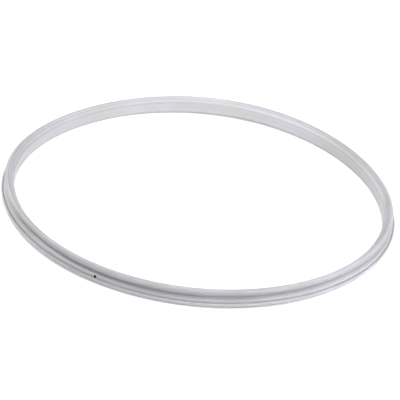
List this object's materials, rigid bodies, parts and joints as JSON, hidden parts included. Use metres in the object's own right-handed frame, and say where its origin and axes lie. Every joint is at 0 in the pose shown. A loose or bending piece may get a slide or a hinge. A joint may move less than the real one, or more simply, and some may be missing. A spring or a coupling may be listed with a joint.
{
  "type": "pressure cooker sealing ring",
  "caption": "Clear silicone lip seal for a stovetop pressure cooker's lid: rounded crown, necked outer side, flange, open channel underneath and a small vent hole.",
  "frame": {"origin": "on the ring's axis, level with the lips it lies on", "axes": "+Z along the ring's axis, from the lips up through the crown; +X to the right and +Y away, seen from the side that has the vent hole a little left of the middle"},
  "size_m": [0.253, 0.253, 0.0107],
  "materials": {
    "clear_silicone": "milky translucent moulded silicone, satin"
  },
  "bodies": {
    "root": {"sealing_ring": "clear_silicone"}
  },
  "joints": []
}
